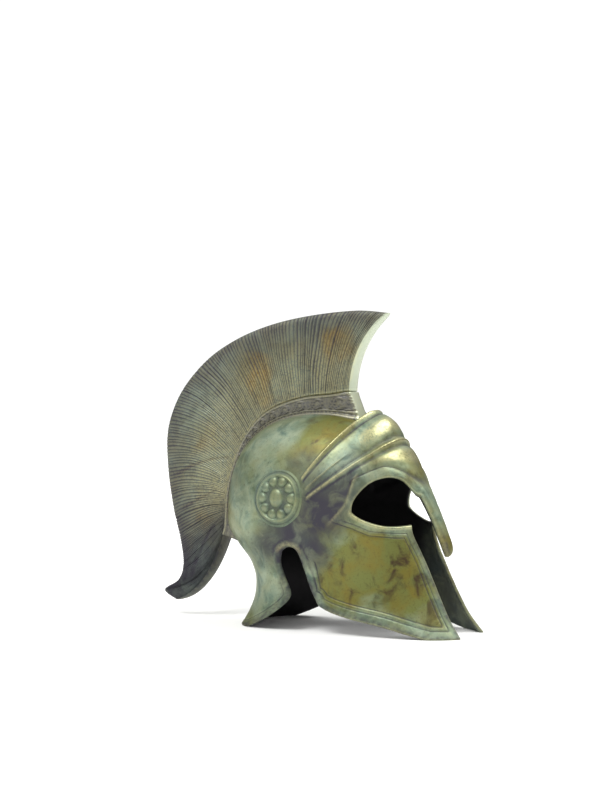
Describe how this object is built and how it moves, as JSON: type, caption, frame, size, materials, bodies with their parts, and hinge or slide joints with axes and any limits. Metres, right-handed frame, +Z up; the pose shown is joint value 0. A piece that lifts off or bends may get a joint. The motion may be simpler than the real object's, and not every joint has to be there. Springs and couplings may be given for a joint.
{
  "type": "crested corinthian helmet ornament",
  "caption": "Small cast bronze Corinthian helmet with nasal, cheek guards, side rosettes, wave-banded crest holder and ribbed upright plume, resting on its lower edge.",
  "frame": {"origin": "middle of the footprint, on the ground under the helmet", "axes": "+Z up; the helmet faces -Y, so the nasal and cheek guards are at -Y and the plume's tail at +Y; X is the plane of symmetry's normal, wearer's right at -X"},
  "size_m": [0.0994, 0.216, 0.1911],
  "materials": {
    "shell_bronze": "cast bronze with pale verdigris patina over olive metal, ridges and brow rubbed bright",
    "holder_bronze": "cast bronze, dark grey patina left in the wave relief",
    "plume_bronze": "cast bronze with fine carved hair lines, olive and verdigris patina darkening to the edges",
    "rosette_bronze": "cast bronze rosette, rims and petals rubbed to pale metal, dark patina in the hollows"
  },
  "bodies": {
    "root": {"helmet_shell": "shell_bronze", "crest_holder": "holder_bronze", "crest_plume": "plume_bronze", "rosette_right": "rosette_bronze", "rosette_left": "rosette_bronze"}
  },
  "joints": []
}
